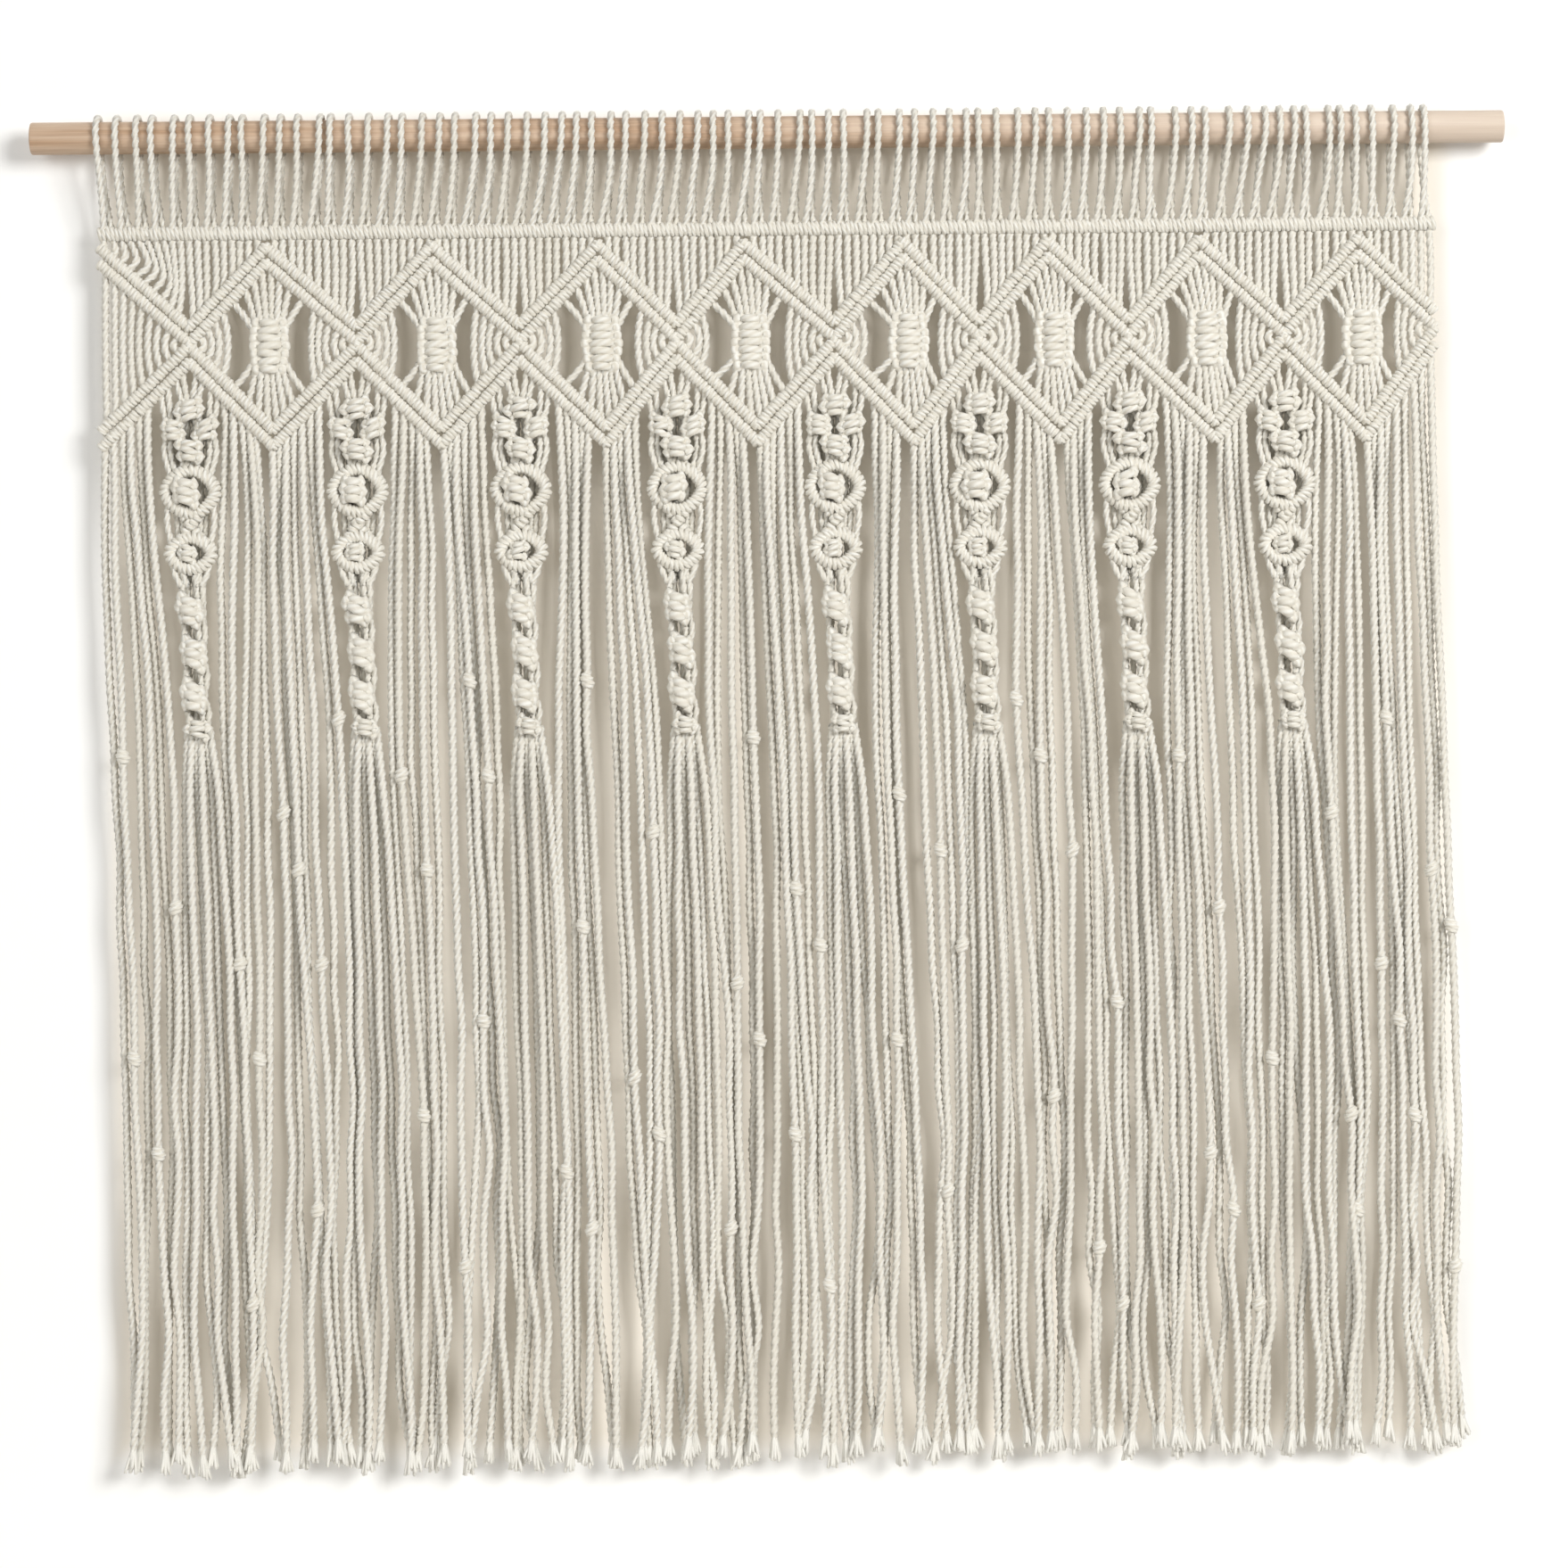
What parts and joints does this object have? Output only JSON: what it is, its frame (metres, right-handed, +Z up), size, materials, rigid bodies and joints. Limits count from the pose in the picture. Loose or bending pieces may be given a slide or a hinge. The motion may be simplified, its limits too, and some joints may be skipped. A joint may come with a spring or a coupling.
{
  "type": "macrame curtain on a wooden rod",
  "caption": "Cream cotton macrame curtain hung on a plain wooden rod: knotted diamonds and pendants over a long loose cord fringe.",
  "frame": {"origin": "middle of the rod's axis", "axes": "+X along the rod to the right as seen from the room, +Y to the back, +Z up"},
  "size_m": [1.1, 0.0362, 1.0169],
  "materials": {
    "rod_wood": "bare sanded wood, matt",
    "cotton_cord": "undyed twisted cotton, matt"
  },
  "bodies": {
    "root": {"rod": "rod_wood", "heading": "cotton_cord", "panel": "cotton_cord", "fringe": "cotton_cord", "pendant_1": "cotton_cord", "pendant_2": "cotton_cord", "pendant_3": "cotton_cord", "pendant_4": "cotton_cord", "pendant_5": "cotton_cord", "pendant_6": "cotton_cord", "pendant_7": "cotton_cord", "pendant_8": "cotton_cord"}
  },
  "joints": []
}
